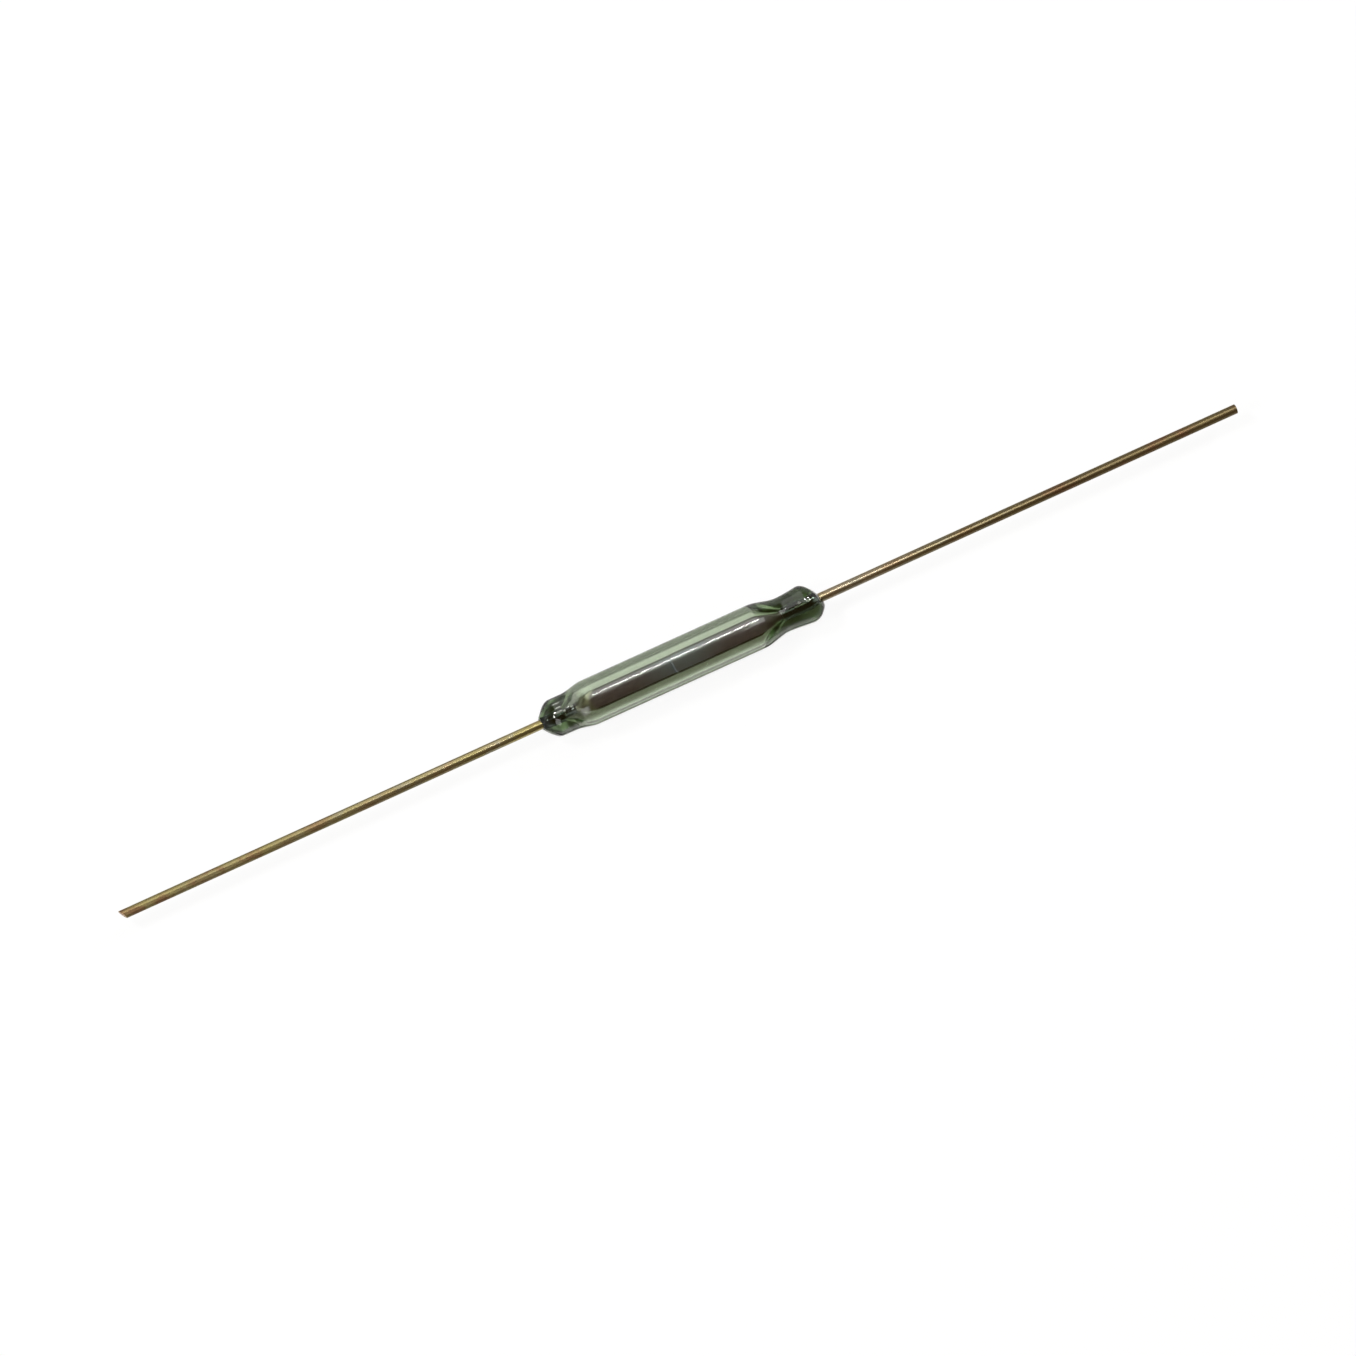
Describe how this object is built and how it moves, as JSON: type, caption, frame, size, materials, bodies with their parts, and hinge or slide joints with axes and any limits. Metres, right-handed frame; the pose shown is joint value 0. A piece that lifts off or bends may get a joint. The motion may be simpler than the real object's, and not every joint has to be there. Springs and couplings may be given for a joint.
{
  "type": "glass reed switch",
  "caption": "Normally open reed switch: two flat spring reeds sealed into the ends of a pale green glass tube, overlapping with a small gap, with straight round gold-coloured leads.",
  "frame": {"origin": "middle of the glass capsule, on the common axis of the tube and the leads", "axes": "+X along the leads, towards the seal with the drawn-in neck; +Z square to the flat faces of the blades, towards the right blade"},
  "size_m": [0.056, 0.002, 0.002],
  "materials": {
    "glass": "clear, fire polished, pale green",
    "lead": "satin, gold-coloured plating on nickel-iron wire",
    "blade": "satin, stamped nickel-iron"
  },
  "bodies": {
    "capsule": {"glass_capsule": "glass", "left_lead": "lead", "right_lead": "lead"},
    "left_blade": {"left_blade": "blade"},
    "right_blade": {"right_blade": "blade"}
  },
  "joints": [
    {"name": "left_blade_flex", "type": "hinge", "parent": "capsule", "child": "left_blade", "pos_m": [-0.00515, 0, 0], "axis": [0, -1, 0], "range_deg": [0, 0.44], "stiffness_Nm_per_rad": 0.0298},
    {"name": "right_blade_flex", "type": "hinge", "parent": "capsule", "child": "right_blade", "pos_m": [0.00483, 0, 0], "axis": [0, -1, 0], "range_deg": [0, 0.44], "stiffness_Nm_per_rad": 0.0298}
  ]
}
